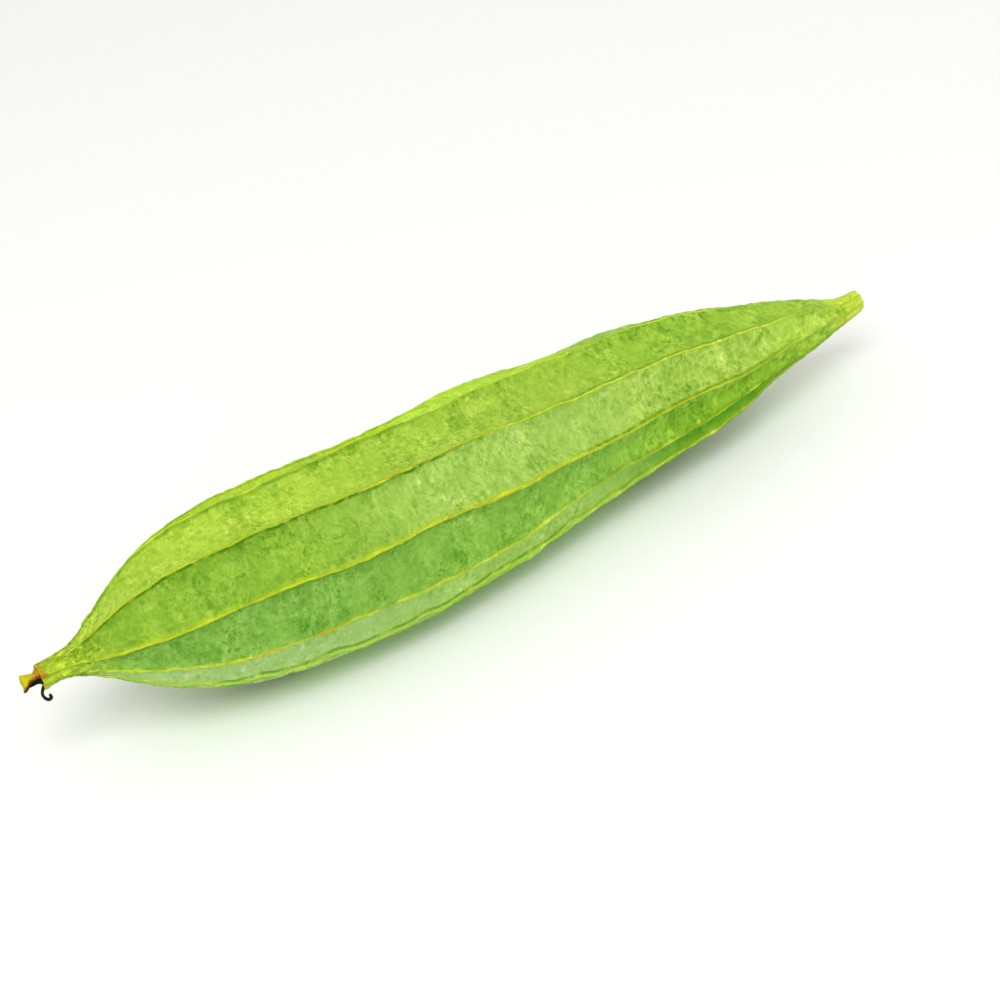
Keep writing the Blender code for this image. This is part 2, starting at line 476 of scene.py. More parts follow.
def shape_ring(middle, before, after):
    """Stretches and turns each point of the selected ring from its old angle and radius to its new ones."""
    mesh = edit_mesh()
    ring = selected_ring(mesh)
    bpy.ops.mesh.select_all(action="DESELECT")
    for point, (angle, radius), (new_angle, new_radius) in zip(ring, before, after):
        point.select_set(True)
        stretch(new_radius / radius, middle)
        bpy.ops.transform.rotate(value=new_angle - angle, orient_axis="X", center_override=middle)
        point.select_set(False)
    for point in ring:
        point.select_set(True)
    mesh.select_flush_mode()


print("a ring has", SIDES, "points")

# %% Draw out the rings
FIRST_RADIUS = 3 * MM

start = centre(FRUIT_START)
fruit = start_ring("fruit_rind", start, FIRST_RADIUS, SIDES)
mark_station(FRUIT_START)
before = wheel(FRUIT_START)
shape_ring(start, [(-math.tau * i / SIDES, FIRST_RADIUS) for i in range(SIDES)], before)
stations = RINGS + STALK_RINGS
for last, station in zip(stations, stations[1:]):
    extrude(centre(station) - centre(last))
    mark_station(station)
    after = wheel(station)
    shape_ring(centre(station), before, after)
    before = after
print("cage:", len(edit_mesh().verts), "points in", len(stations), "rings")

# %% [markdown]
# ## Closing the ends
# The stalk was cut off the vine a fingertip above the fruit. Its tip is rounded over by three more rings,
# each drawn out a little and shrunk, and closed with one face. At the flower end the neck has a ragged rim
# round a shallow pit, where the flower was joined: the ridges' points are pulled out of the rim, and then
# the ring is extruded inwards.

# %% Close both ends
TIP = [(0.45, 0.88, 278.05), (0.3, 0.62, 278.35), (0.15, 0.3, 278.5)]  # way out, share of size, station
INNER = -1  # the station of what lies inside an end
PIT = [(0.2, 0.82, INNER), (1.8, 0.6, INNER)]
RIM_POINTS = 0.2  # how far the ridges stand out of the rim
NEAR = 0.01


def close_end(middle, moves):
    """Extrudes the selected ring by each way, shrinks it to each share in turn, and fills it with a face."""
    for way, share, station in moves:
        extrude((way * MM, 0, 0))
        stretch(share, middle)
        mark_station(station)
    bpy.ops.mesh.edge_face_add()


close_end(centre(STALK_END), TIP)
choose(lambda place, station, label: station == FRUIT_START and label % PER_RIDGE == 0)
bpy.ops.transform.translate(value=(-RIM_POINTS * MM, 0, 0))
choose(lambda place, station, label: abs(station - FRUIT_START) < NEAR)
close_end(centre(FRUIT_START), PIT)
bpy.ops.mesh.select_all(action="SELECT")
bpy.ops.mesh.normals_make_consistent(inside=False)
print("faces with the ends closed:", len(edit_mesh().faces))

# %% [markdown]
# ## Map, creases and groups
# The skin's pattern follows the ridges, so the rind has its own UV map: U runs along the gourd and V round
# it, with every crest at a tenth and the seam on a ridge underneath. The small faces that close an end lie
# in a narrow strip at that end of the map. A crease holds each crest up when the cage is subdivided. The
# groups say where the skin will be displaced, and how much.

# %% Lay out the map
CAP_U = 0.006  # width of the strip for the end faces
CAP_RADIUS = 9 * MM


def map_cap(chart, face, middle, edge):
    """Lays a face that closes an end into the strip that starts at this edge of the map."""
    for loop in face.loops:
        away = (loop.vert.co - middle) / CAP_RADIUS
        loop[chart].uv = (edge + CAP_U * (1 + away.y) / 2, 0.5 + away.z / 2)


mesh = edit_mesh()
label = mesh.verts.layers.int["label"]
station = mesh.verts.layers.float["station"]
chart = mesh.loops.layers.uv.new("OFBake")
for face in mesh.faces:
    labels = [loop.vert[label] for loop in face.loops]
    if len(labels) > 4 or max(loop.vert[station] for loop in face.loops) < 0:
        at_stalk = face.calc_center_median().x > 0
        map_cap(chart, face, centre(STALK_END if at_stalk else FRUIT_START), 1 - CAP_U if at_stalk else 0)
        continue
    across_seam = max(labels) - min(labels) > SIDES / 2
    for loop in face.loops:
        v = 1.0 if across_seam and loop.vert[label] == 0 else loop.vert[label] / SIDES
        loop[chart].uv = (loop.vert[station] / LENGTH if loop.vert[station] > 0 else CAP_U, v)
bmesh.update_edit_mesh(fruit.data)
print("mapped faces:", len(mesh.faces))

# %% Crease the crests and set the groups
CREST, FOOT, MIDDLE, NEXT_FOOT = range(PER_RIDGE)  # what a label's remainder by four says of a point
ALL_ROUND = (CREST, FOOT, MIDDLE, NEXT_FOOT)
CREASES = {CREST: 0.75, FOOT: 0.25, NEXT_FOOT: 0.25}
GROWTH = [(5, 0.2), (20, 1), (250, 1), (266, 0.3), (280, 0.3)]
WRINKLE = [(5, 0.5), (20, 0.7), (120, 0.7), (170, 1), (250, 1), (266, 0.3), (280, 0.3)]
PUCKER = [(5, 0), (110, 0.1), (165, 1), (235, 0.8), (258, 0), (280, 0)]
ROUGH = [(5, 0.4), (8, 1), (19, 1), (34, 0), (240, 0), (262, 0.9), (271, 0.7), (276, 0.15), (280, 0.1)]
GROUPS = {  # how strong each is by station, and on which points
    "growth": (GROWTH, ALL_ROUND),
    "crest": (GROWTH, (CREST,)),
    "panel": (WRINKLE, (FOOT, MIDDLE, NEXT_FOOT)),
    "middle": (PUCKER, (MIDDLE,)),
    "ends": (ROUGH, ALL_ROUND),
}

for part, crease in CREASES.items():
    choose(lambda place, station, label: label % PER_RIDGE == part)
    bpy.ops.transform.edge_crease(value=crease)
bpy.ops.object.mode_set(mode="OBJECT")
labels = [item.value for item in fruit.data.attributes["label"].data]
stations = [item.value for item in fruit.data.attributes["station"].data]
for name, (strength, parts) in GROUPS.items():
    group = fruit.vertex_groups.new(name=name)
    for i, at in enumerate(stations):
        if at >= FRUIT_START and labels[i] % PER_RIDGE in parts:
            group.add([i], smooth(strength, at), "REPLACE")
print("groups:", ", ".join(GROUPS))

# %% [markdown]
# ## Growth
# Three rounds of subdivision make the cage a smooth skin. Growth is never even, so displacements follow,
# each in its own group: broad swells, puckers down the middle of the panels towards the stalk, short
# wrinkles across the panels, knots and finer nicks along the crests, and rough lumps and lengthways sinews
# at both ends. Clouds move the skin, and an empty that is longer one way than the others draws them out
# that way.

# %% Subdivide and displace
SUBDIVISIONS = 3
SIDEWAYS = (1, 2.5, 2.5)
LENGTHWAYS = (3, 1, 1)


def apply_modifier(piece, kind, **settings):
    """Adds a modifier, sets it and applies it."""
    start_fresh()
    bpy.context.view_layer.objects.active = piece
    piece.select_set(True)
    bpy.ops.object.modifier_add(type=kind)
    modifier = piece.modifiers[-1]
    for name, value in settings.items():
        setattr(modifier, name, value)
    bpy.ops.object.modifier_apply(modifier=modifier.name)


def displace(piece, name, size, strength, group="", depth=2, drawn=None):
    """Pushes a piece's surface in and out by clouds of a size and a strength in millimetres."""
    clouds = bpy.data.textures.new(name, "CLOUDS")
    clouds.noise_depth = depth
    clouds.noise_scale = size if drawn else size * MM
    placed = {"texture_coords": "LOCAL"}
    if drawn:
        start_fresh()
        bpy.ops.object.empty_add(scale=[side * MM for side in drawn])
        bpy.context.view_layer.update()
        placed = {"texture_coords": "OBJECT", "texture_coords_object": bpy.context.object}
    apply_modifier(piece, "DISPLACE", texture=clouds, vertex_group=group, strength=strength * MM, **placed)
    if drawn:
        bpy.data.objects.remove(placed["texture_coords_object"])


apply_modifier(fruit, "SUBSURF", levels=SUBDIVISIONS, render_levels=SUBDIVISIONS, uv_smooth="NONE")
displace(fruit, "swells", 16, 0.7, "growth", depth=1)
displace(fruit, "puckers", 5, 1.8, "middle", depth=1, drawn=SIDEWAYS)
displace(fruit, "wrinkles", 2.2, 0.45, "panel", drawn=SIDEWAYS)
displace(fruit, "knots", 5, 0.8, "crest")
displace(fruit, "nicks", 2, 0.5, "crest", depth=1)
displace(fruit, "lumps", 2.5, 0.6, "ends")
displace(fruit, "sinews", 1.1, 0.55, "ends", depth=1, drawn=LENGTHWAYS)
print("skin:", len(fruit.data.polygons), "faces")

# %% [markdown]
# ## Resting on the table
# What reaches below the table is pressed flat onto it: its points are selected by height and scaled to
# nothing upwards. That gives the two underside ridges the small flat places that a heavy gourd rests on.

# %% Press it flat where it rests


def open_piece(piece):
    """Opens one piece in edit mode."""
    start_fresh()
    bpy.context.view_layer.objects.active = piece
    bpy.ops.object.mode_set(mode="EDIT")


open_piece(fruit)
choose(lambda place, station, label: place.z < 0)
bpy.ops.transform.resize(value=(1, 1, 0), center_override=(0, 0, 0))
print("points pressed flat:", len(selected_ring(edit_mesh())))

# %% [markdown]
# ## Cutting the stalk free
# Fruit and stalk are two named parts of one grown thing, and nothing may show where they meet. So they were
# drawn out and displaced as one skin, and only now is the stalk's part of it separated. Both halves of the
# cut are closed: the edge is kept sharp, so that the skin's shading runs on over it, and the end is drawn
# in a little and filled. The stalk's share of the map is then widened to a whole map of its own.

# %% Separate the stalk
STALK_U_START = 267.8  # the station at the left edge of the stalk's own map
CUT_SHARE = 0.6  # how small the end is drawn in
FACING = 0.9  # how squarely a face that closes the cut looks along the gourd


def close_cut(piece, depth, edge):
    """Closes the open end at the cut, drawn in by a depth in millimetres, and maps its faces at an edge."""
    open_piece(piece)
    bpy.ops.mesh.select_all(action="DESELECT")
    bpy.ops.mesh.select_non_manifold()
    bpy.ops.mesh.mark_sharp()
    extrude((depth * MM, 0, 0))
    stretch(CUT_SHARE, centre(FRUIT_END))
    bpy.ops.mesh.edge_face_add()
    bpy.ops.mesh.poke()
    bpy.ops.mesh.select_more()
    mesh = edit_mesh()
    chart = mesh.loops.layers.uv["OFBake"]
    ends = [face for face in mesh.faces if face.select and abs(face.normal.x) > FACING]
    for face in ends:
        map_cap(chart, face, centre(FRUIT_END), edge)
    print(piece.name, "is closed with", len(ends), "faces")
    bpy.ops.mesh.select_all(action="SELECT")
    bpy.ops.mesh.normals_make_consistent(inside=False)
    bpy.ops.object.mode_set(mode="OBJECT")
    start_fresh()
    piece.select_set(True)
    bpy.ops.object.shade_smooth(keep_sharp_edges=True)


choose(lambda place, station, label: station > FRUIT_END - NEAR)
bpy.ops.mesh.separate(type="SELECTED")
bpy.ops.object.mode_set(mode="OBJECT")
stalk = next(piece for piece in bpy.context.selected_objects if piece != fruit)
stalk.name = "stalk_stub"
for corner in stalk.data.uv_layers["OFBake"].uv:
    u, v = corner.vector
    if u < 1 - CAP_U:
        corner.vector = ((u * LENGTH - STALK_U_START) / (LENGTH - STALK_U_START), v)
close_cut(fruit, -0.3, 1 - CAP_U)
close_cut(stalk, 0.3, 0)
for piece, solid in ((fruit, "fruit"), (stalk, "cut_stalk")):
    lowest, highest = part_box(solid)
    print(
        piece.name,
        [round(side / MM, 1) for side in piece.dimensions],
        "mm, and its solid",
        [round((high - low) / MM, 1) for low, high in zip(lowest, highest)],
    )

# %% [markdown]
# ## Rind
# A ridge gourd's rind is living skin: matt with a thin wax, not painted. Its panels are mottled
# yellow-green, with shade painted in below each crest, and olive-yellow above it, and its crests are dry
# yellow cord with a thin line of painted shade beside them. From V come the nearest ridge and how far off
# it is, and from U the station, so every colour can be given its place in millimetres. Patterns with no
# way to follow take their place from the piece itself, so that they are as coarse at the thin ends as in
# the middle.

# %% Where a point of the rind lies
AROUND = 160  # millimetres round the gourd at its fattest, which V runs over
CREST_SPAN = 8.8  # millimetres of skin to one pitch of the ridges, near a crest
STRETCH = (1, 0.45, 1)  # makes a pattern on the map longer across the panels
SLANT = math.radians(20)
ALONG = (0.4, 1, 1)  # makes a pattern longer along the gourd
APART = 37  # moves each ridge's own line of noise away from the others'


def rind_ways(add, first, last):
    """The station, the panel, the ridge, the millimetres from its crest, and places for patterns."""
    map_place = add("UVMap", uv_map="OFBake")
    u, v = add("SeparateXYZ", map_place).outputs[:2]
    station = add("MapRange", u, 0.0, 1.0, first, last)
    pitch = add("Math MULTIPLY", v, len(RIDGES))
    ridge = add("Math ROUND", pitch)
    tenth = add("Math MULTIPLY", ridge, 1 / len(RIDGES))
    beside = add("Math SUBTRACT", pitch, ridge)
    around = add("Math MULTIPLY", v, AROUND)
    flat = add("CombineXYZ", station, around)
    place = add("TexCoord").outputs["Object"]
    solid = add("VectorMath MULTIPLY", place, (1 / MM,) * 3)
    far = add("Math MULTIPLY", ridge, APART)
    return {
        "v": v,
        "station": station,
        "ridge": add("Math ADD", tenth, 0.5 / len(RIDGES)),
        "panel": add("Math FRACT", pitch),
        "crest": add("Math MULTIPLY", beside, CREST_SPAN),
        "flat": flat,
        "solid": solid,
        "across": add("Mapping", flat, named={"Scale": STRETCH}),
        "slant": add("Mapping", flat, named={"Rotation": (0, 0, SLANT), "Scale": STRETCH}),
        "along": add("Mapping", solid, named={"Scale": ALONG}),
        "line": add("CombineXYZ", station, far),
    }


def by_tenth(add, v, values):
    """Each tenth's own value, from a ramp that steps between them."""
    ramp = add("ValToRGB", v, stops=[(i / len(values), value) for i, value in enumerate(values)])
    ramp.color_ramp.interpolation = "CONSTANT"
    return ramp


print("the nearest crest is told to", CREST_SPAN / 2, "mm on both sides")

# %% [markdown]
# Each of the ten panels has its own green, and each changes from the flower end to the middle and to the
# stalk. The greens are partly the skin's own colour and partly painted light and shade: each panel is made
# as light or deep as it looks where it faces the light. A ramp with ten steps gives each panel its green,
# and three ramps are blended by station. The neck turns olive-yellow, the rind lime towards the stalk, and
# the stalk yellow, with green running out into it along its flutes.

# %% The greens of the panels
# Each panel's green holds painted light and shade as well as the skin's own colour.
PANEL_GREENS_WITH_PAINTED_LIGHT = (  # each panel's green in the flower's third, the middle one and the stalk's
    "90B040 84AC3C 9CC034 AED01C A2C534 7DA825 77A93A A1C86C 8EC444 A8C474",
    "90B040 84AC3C 92B43C AEDA18 9ABE36 9BC04D 80B23A A1CB57 84BC40 A0BE68",
    "8CA84C 80A040 8EAC44 98C03C 8BB62B 9CC043 82B321 5EA40E 6A9C2C 90AE5C",
)
TURNS = ((70, 135), (165, 205))  # the stations over which one third turns into the next
NECK = (8, 30, 0.9, 0)  # start and end station, and how much of its colour there is at each
LIME = (230, 254, 0, 0.65)
YELLOW = (269, 281)
FLUTE = 9
FLUTE_REACH = 16  # how far the green runs out, in millimetres


def panel_greens(add, ways):
    """The green of the panels, before any pattern."""
    skin, *others = [by_tenth(add, ways["v"], third.split()) for third in PANEL_GREENS_WITH_PAINTED_LIGHT]
    for green, turn in zip(others, TURNS):
        turned = add("MapRange SMOOTHSTEP", ways["station"], *turn)
        skin = add("Mix RGBA", turned, skin, green)
    neck = add("MapRange SMOOTHSTEP", ways["station"], *NECK)
    lime = add("MapRange", ways["station"], *LIME)
    flutes = add("TexNoise", ways["flat"], 1 / FLUTE, 1.0)
    reach = add("Math MULTIPLY_ADD", flutes, FLUTE_REACH, ways["station"])
    yellow = add("MapRange SMOOTHSTEP", reach, *YELLOW)
    for share, colour in ((neck, "A0BE24"), (lime, "A4CA38"), (yellow, "BED63C")):
        skin = add("Mix RGBA", share, skin, colour)
    return skin


print("panels:", len(RIDGES), "in", len(PANEL_GREENS_WITH_PAINTED_LIGHT), "thirds")

# %% [markdown]
# The mottling is four patterns laid over each other: patches about a centimetre wide, curled mottles of
# four millimetres, short strokes that cross the panel at a slant, and grain. Their sum, the tone, makes the
# green paler or deeper. It is deeper under each crest, as painted shade, streaked lengthways at both ends
# and lumpy towards the stalk.

# %% Set the tone of the mottling
SPREAD = (0.35, 0.65)  # most values of a noise lie between these
PATTERNS = (  # place, size in millimetres, detail, curl, and share of the tone
    ("solid", 12, 1.0, 0.8, 0.3),
    ("solid", 4.0, 2.0, 1.5, 0.34),
    ("slant", 2.2, 1.0, 1.0, 0.22),
    ("solid", 1.4, 1.0, 1.0, 0.27),
)
# Painted shade: the top of each panel, just under its crest, is painted deeper.
PAINTED_SHADE_UNDER_CREST = (0.03, 0.42, 0.26, 0)  # from and to which part of a panel, and how much darker there
LESS_PAINTED_SHADE = (120, 180, 1, 0.45)  # start and end station, and the share at each
STREAKED_NECK = (14, 34, 0.9, 0)
STREAKED_STALK = (236, 262)
STREAK = 1.5  # millimetres
LUMP = 5
LUMPY = (180, 210)


def set_tone(add, ways):
    """The tone of the skin, from 0 for deep to 1 for pale, before its strength is set."""
    tone = 0.0
    for place, size, detail, curl, share in PATTERNS:
        cloud = add("TexNoise", ways[place], 1 / size, detail, named={"Distortion": curl})
        level = add("MapRange SMOOTHSTEP", cloud, *SPREAD)
        tone = add("Math MULTIPLY_ADD", level, share, tone)
    # The painted shade under each crest is taken off the tone here.
    below = add("MapRange SMOOTHSTEP", ways["panel"], *PAINTED_SHADE_UNDER_CREST)
    less = add("MapRange", ways["station"], *LESS_PAINTED_SHADE)
    below = add("Math MULTIPLY", below, less)
    tone = add("Math SUBTRACT", tone, below)
    streaked = add("MapRange", ways["station"], *STREAKED_NECK)
    streaked = add("MapRange", ways["station"], *STREAKED_STALK, streaked, 0.3)
    streaks = add("TexNoise", ways["along"], 1 / STREAK, 1.0, named={"Distortion": 1.0})
    streaks = add("MapRange", streaks, *SPREAD, -0.45, 0.65)
    tone = add("Math MULTIPLY_ADD", streaks, streaked, tone)
    lumps = add("TexNoise", ways["solid"], 1 / LUMP, 0.0, named={"Distortion": 2.0})
    lumps = add("MapRange", lumps, *SPREAD, -0.25, 0.3)
    lumpy = add("MapRange", ways["station"], *LUMPY)
    return add("Math MULTIPLY_ADD", lumps, lumpy, tone)


print("mottling:", len(PATTERNS), "patterns from", PATTERNS[0][1], "to", PATTERNS[-1][1], "mm")

# %% [markdown]
# Over the tone lie dark dapples, pale strokes and dark specks in crowds, as where the wax is rubbed or the
# flesh shows through. Each multiplies the green under it, so that it suits every panel. All of it comes and
# goes in patches of a centimetre or so, and is calmer near the stalk.

# %% Mottle the skin
MOTTLING = [0.7, 0.7, 0.8, 0.8, 0.9, 1, 1, 0.6, 0.6, 0.6]  # how strong it is on each panel
CALMER = (225, 255, 1, 0.6)
PATCH = 14
PATCHY = (0.4, 0.6, 0.6, 1.35)  # low and high noise, and the strength of the mottling there
DEEP = (0.54, 0.69, 0.34, 1)  # what the green is multiplied by where the tone is 0, and where it is 1
PALE = (1.4, 1.25, 1.75, 1)
FLECKS = {  # place, size in millimetres, curl, threshold, strength and tint
    "dapples": ("solid", 3.0, 1.5, 0.54, 0.55, (0.6, 0.76, 0.42, 1)),
    "strokes": ("slant", 1.9, 0.5, 0.57, 0.8, (1.45, 1.22, 2.0, 1)),
    "specks": ("solid", 1.2, 0.8, 0.59, 0.8, (0.5, 0.67, 0.3, 1)),
}
FLECK_EDGE = 0.04  # from the threshold to a whole fleck
FLECK_SEED = 3.7  # moves each kind away from the last
CROWD = 9


def mottle(add, ways, skin):
    """The skin with its mottling, and its tone and pale strokes, which the relief uses too."""
    amount = by_tenth(add, ways["v"], MOTTLING)
    calmer = add("MapRange", ways["station"], *CALMER)
    patchy = add("TexNoise", ways["solid"], 1 / PATCH, 1.0, named={"Distortion": 0.5})
    patchy = add("MapRange", patchy, *PATCHY)
    for share in (calmer, patchy):
        amount = add("Math MULTIPLY", amount, share)
    tone = add("Mix", amount, 0.5, set_tone(add, ways))
    tint = add("Mix RGBA", tone, DEEP, PALE)
    tint.clamp_factor = False
    skin = add("Mix RGBA", 1.0, skin, tint, blend_type="MULTIPLY")

    masks = {}
    for number, (name, (place, size, curl, threshold, strength, tint)) in enumerate(FLECKS.items()):
        seed = {"W": FLECK_SEED * number}
        grain = seed | {"Scale": 1 / size, "Distortion": curl}
        spots = add("TexNoise 4D", ways[place], named=grain)
        crowd = add("TexNoise 4D", ways["solid"], named=seed | {"Scale": 1 / CROWD})
        crowd = add("MapRange", crowd, 0.4, 0.6, 0.2, strength)
        crowd = add("Math MULTIPLY", crowd, amount)
        masks[name] = add("MapRange", spots, threshold, threshold + FLECK_EDGE)
        spots = add("Math MULTIPLY", masks[name], crowd)
        skin = add("Mix RGBA", spots, skin, tint, blend_type="MULTIPLY")
    return skin, tone, masks["strokes"]


print("flecks:", ", ".join(FLECKS))

# %% [markdown]
# ## Crests
# A crest is a cord half a millimetre high, and each differs in width, freshness and wear. First comes what
# its colours share. Its line wanders a little, breaks up every few millimetres, and is faint in the neck
# and near the stalk, towards which it looks older. Lists by ridge are in the order of the ridges, and
# millimetres from a crest count down the front.

# %% Follow the crests
HIGHER = [0, 0, 0, 0, 0, 0, 0, 0, 1, 0]  # millimetres that the cord lies above its crest, by ridge
WANDER_SIZE = 9
WANDER_REACH = 0.45
RAGGED_SIZE = 1.3
BREAK_SIZE = 3
CREST_STARTS = (6, 28, 0.35, 1)
CREST_ENDS = (225, 264, 1, 0.3)
OLDER = (140, 190)


def by_ridge(add, ways, values):
    """Each ridge's own value, half-way to its neighbours on both sides."""
    return by_tenth(add, ways["ridge"], values)


def crest_ways(add, ways):
    """The ways, with what the crests' colours share: their own line, and how ragged, broken and old it is."""
    wander = add("TexNoise", ways["line"], 1 / WANDER_SIZE, 2.0)
    wander = add("MapRange", wander, 0.3, 0.7, -WANDER_REACH, WANDER_REACH)
    line = add("Math ADD", ways["crest"], wander)
    starts = add("MapRange SMOOTHSTEP", ways["station"], *CREST_STARTS)
    ends = add("MapRange SMOOTHSTEP", ways["station"], *CREST_ENDS)
    return ways | {
        "from_crest": add("Math ADD", line, by_ridge(add, ways, HIGHER)),
        "ragged": add("TexNoise", ways["solid"], 1 / RAGGED_SIZE, 2.0),
        "breaks": add("TexNoise", ways["line"], 1 / BREAK_SIZE, 3.0),
        "fade": add("Math MULTIPLY", starts, ends),
        "older": add("MapRange", ways["station"], *OLDER),
    }


print("crests are faint before", CREST_STARTS[1], "and after", CREST_ENDS[0], "mm")

# %% [markdown]
# The yellow of a crest runs up in a ragged band over the foot above it. On the crest itself lies the cord,
# dry and lime-yellow, with spots of painted highlight, and still green on the ridges that are fresher.
# Stretches of a couple of centimetres are fainter than the rest.

# %% Draw the bands and the cords
BAND = [0.5, 0.6, 0.6, 0.9, 1, 0.75, 0.8, 0.2, 0.5, 0.4]
BAND_ABOVE = (-1, 0.5)  # millimetres over which the band rises out of the panel above
BAND_BELOW = (1.3, 1.8, 1, 0)
CORD = [0.5, 0.5, 0.5, 0.5, 0.3, 0.4, 0.62, 0.8, 0.6, 0.5]  # half its width, in millimetres
FRESH = [0.3, 0.3, 0.3, 0.3, 0.3, 0.2, 0, 0, 0.85, 0.5]  # how much greener than dry cord it still is
OLD_SHIFT = 0.3  # millimetres that an old cord lies below its crest
FAINT_SIZE = 22
FAINT = (0.4, 0.58, 0.6, 1)  # low and high noise, and how much shows there
PAINTED_HIGHLIGHT_SPOTS = (0.52, 0.66, 0, 0.8)


def lay_band(add, ways, skin):
    """The skin with the yellow bands over it."""
    edge = add("Math MULTIPLY_ADD", ways["ragged"], 2.0, ways["from_crest"])
    band = add("MapRange SMOOTHSTEP", edge, *BAND_ABOVE)
    below = add("MapRange SMOOTHSTEP", edge, *BAND_BELOW)
    uneven = add("MapRange", ways["breaks"], 0.3, 0.6, 0.35, 0.85)
    for share in (below, by_ridge(add, ways, BAND), uneven, ways["fade"]):
        band = add("Math MULTIPLY", band, share)
    colour = add("Mix RGBA", ways["older"], "ACC41C", "A0BE24")
    return add("Mix RGBA", band, skin, colour)


def lay_cord(add, ways, skin):
    """The skin with the cords over it, and how much of a cord there is, which the relief uses too."""
    cord = add("Math MULTIPLY_ADD", ways["older"], -OLD_SHIFT, ways["from_crest"])
    cord = add("Math ABSOLUTE", cord)
    cord = add("Math DIVIDE", cord, by_ridge(add, ways, CORD))
    cord = add("Math MULTIPLY_ADD", ways["ragged"], 1.2, cord)
    cord = add("MapRange SMOOTHSTEP", cord, 1.0, 2.0, 1.0, 0.0)
    shown = add("MapRange", ways["ragged"], 0.35, 0.6, 0.4, 1.0)
    faint = add("TexNoise", ways["line"], 1 / FAINT_SIZE, 1.0)
    faint = add("MapRange", faint, *FAINT)
    for share in (faint, ways["fade"], cord):
        shown = add("Math MULTIPLY", shown, share)
    # Painted highlights: bright spots along the cords.
    knots = add("MapRange", ways["breaks"], *PAINTED_HIGHLIGHT_SPOTS)
    colour = add("Mix RGBA", ways["older"], "C8DA24", "C8E438")
    for share, other in ((by_ridge(add, ways, FRESH), "98D82C"), (knots, "ECF46C")):
        colour = add("Mix RGBA", share, colour, other)
    return add("Mix RGBA", shown, skin, colour), cord


print("cords are", 2 * min(CORD), "to", 2 * max(CORD), "mm wide")

# %% [markdown]
# A thin olive line of dry fibre wanders along each crest, ochre and strong for the few centimetres where
# the gourd was rubbed. The dark line beside a crest is painted shade, where the crest leans over and hides
# the foot from the light: below the crest in the flower half, and above it in the stalk half or, on some
# ridges, from early on.

# %% Draw the fibre and the lines of painted shade
WORN_MIDDLE = [130, 95, 150, 120, 100, 118, 128, 56, 215, 140]  # station by ridge
WORN_REACH = [30, 20, 25, 30, 4, 18, 26, 26, 15, 30]  # millimetres to both sides of it
FIBRE_SIZE = 9
FIBRE_WANDER = (0.3, 0.7, -0.9, 0.7)  # low and high noise, and millimetres from the crest there
RUBBED = (0.42, 0.58)
BELOW = [0.6, 0.5, 0.6, 0.5, 0.55, 1, 0.5, 0.4, 0.3, 0.5]  # how dark the line is, by ridge
ABOVE = [0.6, 0.6, 0.5, 0.5, 0.6, 0.9, 1, 0.7, 0.6, 0.6]
EARLY = [0, 0, 0, 0, 0.5, 0, 0, 0.25, 0.7, 0.4]
# Lines of painted shade beside the crests, where each crest leans over its foot.
PAINTED_SHADE_LINES = (  # millimetres below the crest, half width, darkness, and the stations of its start, fading and end
    (0.75, 0.55, BELOW, 8, 118, 136),
    (-0.6, 0.75, ABOVE, 160, 236, 256),
    (-0.8, 0.4, EARLY, 40, 150, 170),
)
LINE_START = 12  # millimetres over which a line begins
WHOLE = (0.62, 0.45, 0.3, 1)


def stripe(add, ways, middle, core, edge):
    """How much of a stripe beside the crests is here: all of it within its core, nothing past its edge."""
    away = add("Math SUBTRACT", ways["from_crest"], middle)
    away = add("Math ABSOLUTE", away)
    return add("MapRange SMOOTHSTEP", away, core, edge, 1.0, 0.0)


def where_worn(add, ways):
    """How worn a ridge is at a station."""
    middle = by_ridge(add, ways, [at / LENGTH for at in WORN_MIDDLE])
    reach = by_ridge(add, ways, [at / LENGTH for at in WORN_REACH])
    away = add("Math MULTIPLY", ways["station"], 1 / LENGTH)
    away = add("Math SUBTRACT", away, middle)
    away = add("Math ABSOLUTE", away)
    away = add("Math DIVIDE", away, reach)
    return add("MapRange SMOOTHSTEP", away, 0.8, 1.1, 1.0, 0.0)


def lay_fibre(add, ways, skin):
    """The skin with the lines of dry fibre over it."""
    wander = add("TexNoise", ways["line"], 1 / FIBRE_SIZE, 2.0, named={"Distortion": 0.5})
    wander = add("MapRange", wander, *FIBRE_WANDER)
    worn = where_worn(add, ways)
    shown = add("MapRange", ways["older"], 0.0, 1.0, 0.45, 0.35)
    shown = add("Mix", worn, shown, 0.9)
    rubbed = add("MapRange", ways["breaks"], *RUBBED)
    for share in (rubbed, ways["fade"], stripe(add, ways, wander, 0.15, 0.5)):
        shown = add("Math MULTIPLY", shown, share)
    colour = add("Mix RGBA", worn, "8C9C10", "B4A018")
    return add("Mix RGBA", shown, skin, colour)


def lay_painted_shade_lines(add, ways, skin):
    """The skin with the lines of painted shade over it, and how dark they are, which the relief uses too."""
    dark = 0.0
    for middle, half_width, strengths, start, fades, end in PAINTED_SHADE_LINES:
        line = stripe(add, ways, middle, 0.2, half_width)
        begun = add("MapRange SMOOTHSTEP", ways["station"], start, start + LINE_START)
        for share in (by_ridge(add, ways, strengths), begun):
            line = add("Math MULTIPLY", line, share)
        left = add("MapRange SMOOTHSTEP", ways["station"], fades, end, 1.0, 0.0)
        dark = add("Math MULTIPLY_ADD", line, left, dark)
    whole = add("MapRange", ways["breaks"], *WHOLE)
    dark = add("Math MULTIPLY", dark, whole)
    colour = add("Mix RGBA", ways["older"], "4E8200", "7A9600")
    return add("Mix RGBA", dark, skin, colour), dark


print("worn stretches:", len(WORN_MIDDLE), "and the longest is", 2 * max(WORN_REACH), "mm")

